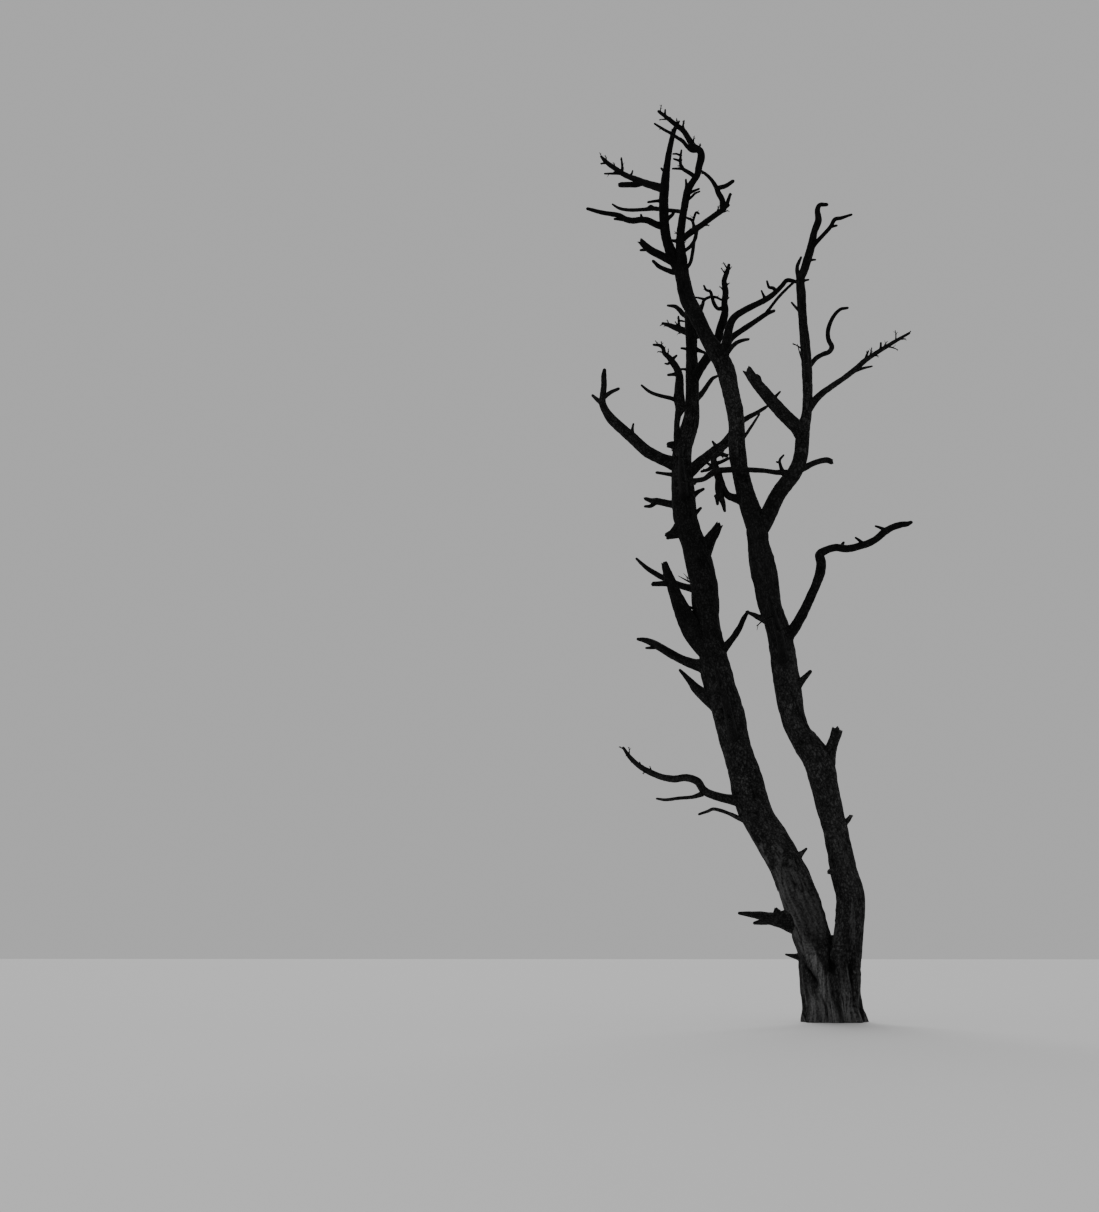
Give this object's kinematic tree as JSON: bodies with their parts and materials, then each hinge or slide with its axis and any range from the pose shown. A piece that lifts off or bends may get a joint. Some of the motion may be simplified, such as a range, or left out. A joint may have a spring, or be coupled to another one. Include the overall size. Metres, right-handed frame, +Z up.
{
  "type": "dead tree",
  "caption": "Leafless dead tree with twin leaning stems from one flared foot, broken boughs and sparse bare twigs.",
  "frame": {"origin": "in the flat cut under the trunk at ground level, between the bases of the two stems", "axes": "+Z up, +X to the right and +Y away from the viewer, as the front shows the tree"},
  "size_m": [4.8152, 3.8269, 14.1374],
  "materials": {
    "weathered_wood": "matt, cracked, bare wood",
    "bark": "matt, fissured",
    "twigs": "matt"
  },
  "bodies": {
    "root": {"trunk_foot": "weathered_wood", "left_stem_low": "bark", "left_stem_middle": "bark", "left_stem_top": "bark", "right_stem_low": "bark", "right_stem_top": "bark", "middle_limb_low": "bark", "middle_limb_top": "bark", "right_limb_low": "bark", "right_limb_top": "bark", "left_leader": "bark", "right_leader": "bark", "spike_bough": "bark", "low_left_bough": "bark", "left_spur": "bark", "second_left_bough": "bark", "left_spire": "bark", "crossing_bough": "bark", "third_left_bough": "bark", "big_left_bough_inner": "bark", "big_left_bough_outer": "bark", "inner_left_bough": "bark", "short_right_bough": "bark", "lower_bridge": "bark", "upper_bridge": "bark", "link_bough": "bark", "elbow_bough_inner": "bark", "elbow_bough_outer": "bark", "hanging_bough": "bark", "level_bough": "bark", "blunt_right_bough": "bark", "broken_right_bough": "bark", "long_right_bough": "bark", "curled_bough": "bark", "high_right_bough": "bark", "upper_cluster_bough": "bark", "lower_cluster_bough": "bark", "upper_left_bough": "bark", "long_left_bough": "bark", "thin_left_bough": "bark", "short_left_bough": "bark", "top_twigs": "twigs", "inner_top_twigs": "twigs", "upper_left_twigs": "twigs", "upper_right_twigs": "twigs", "bridge_twigs": "twigs", "right_twigs": "twigs", "tangle_twigs": "twigs", "low_left_twigs": "twigs", "inner_left_twigs": "twigs", "high_left_twigs": "twigs", "rear_twigs_low": "twigs", "front_twigs_low": "twigs", "front_twigs_middle": "twigs", "rear_twigs_middle": "twigs", "rear_twigs_high": "twigs", "front_twigs_high": "twigs", "rear_twigs_top": "twigs", "front_twigs_right": "twigs"}
  },
  "joints": []
}
